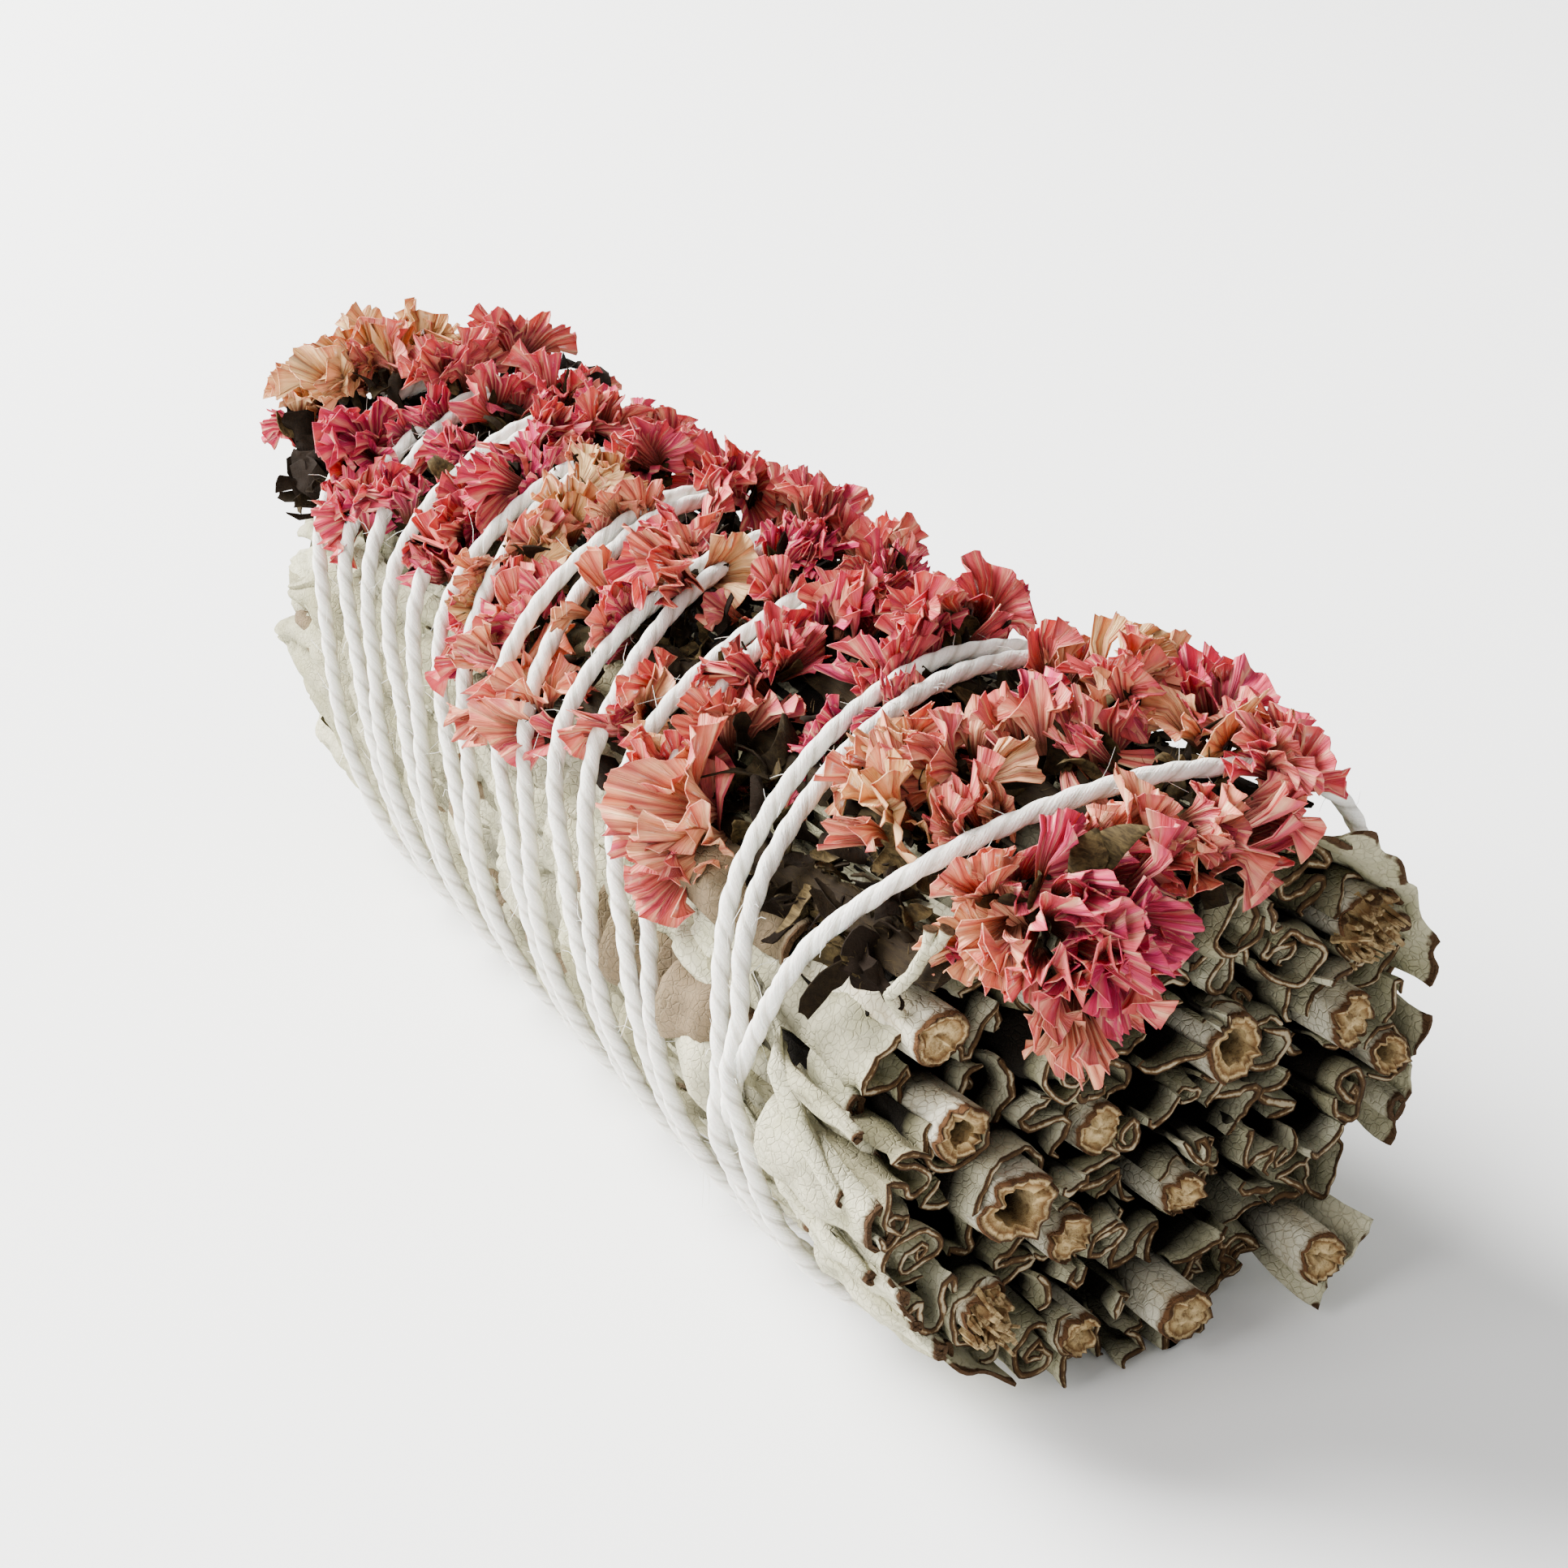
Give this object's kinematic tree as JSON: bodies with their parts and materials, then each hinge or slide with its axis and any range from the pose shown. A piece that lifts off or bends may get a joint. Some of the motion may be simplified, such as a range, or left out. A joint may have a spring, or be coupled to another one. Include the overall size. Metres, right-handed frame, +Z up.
{
  "type": "sage bundle",
  "caption": "Bundle of dried white sage sprigs with dried statice sprays along its top, wound from end to end with cotton string, lying on its side.",
  "frame": {"origin": "under the middle of the bundle's box, on the surface that it lies on", "axes": "+X towards the cut stems along the bundle, +Y across it, +Z up out of the surface"},
  "size_m": [0.1144, 0.0444, 0.0462],
  "materials": {
    "cotton_string": "soft twisted cotton, off-white, slightly fuzzy",
    "white_sage": "dry felted leaves, pale grey-green, with brown cut edges and tan pith",
    "statice": "dry papery calyces, salmon pink to magenta with cream folds, on dark olive winged stems"
  },
  "bodies": {
    "root": {"cotton_string": "cotton_string", "sage_sprig_01": "white_sage", "sage_sprig_02": "white_sage", "sage_sprig_03": "white_sage", "sage_sprig_04": "white_sage", "sage_sprig_05": "white_sage", "sage_sprig_06": "white_sage", "sage_sprig_07": "white_sage", "sage_sprig_08": "white_sage", "sage_sprig_09": "white_sage", "sage_sprig_10": "white_sage", "sage_sprig_11": "white_sage", "sage_sprig_12": "white_sage", "sage_sprig_13": "white_sage", "sage_sprig_14": "white_sage", "sage_sprig_15": "white_sage", "sage_sprig_16": "white_sage", "statice_spray_01": "statice", "statice_spray_02": "statice", "statice_spray_03": "statice", "statice_spray_04": "statice", "statice_spray_05": "statice"}
  },
  "joints": []
}
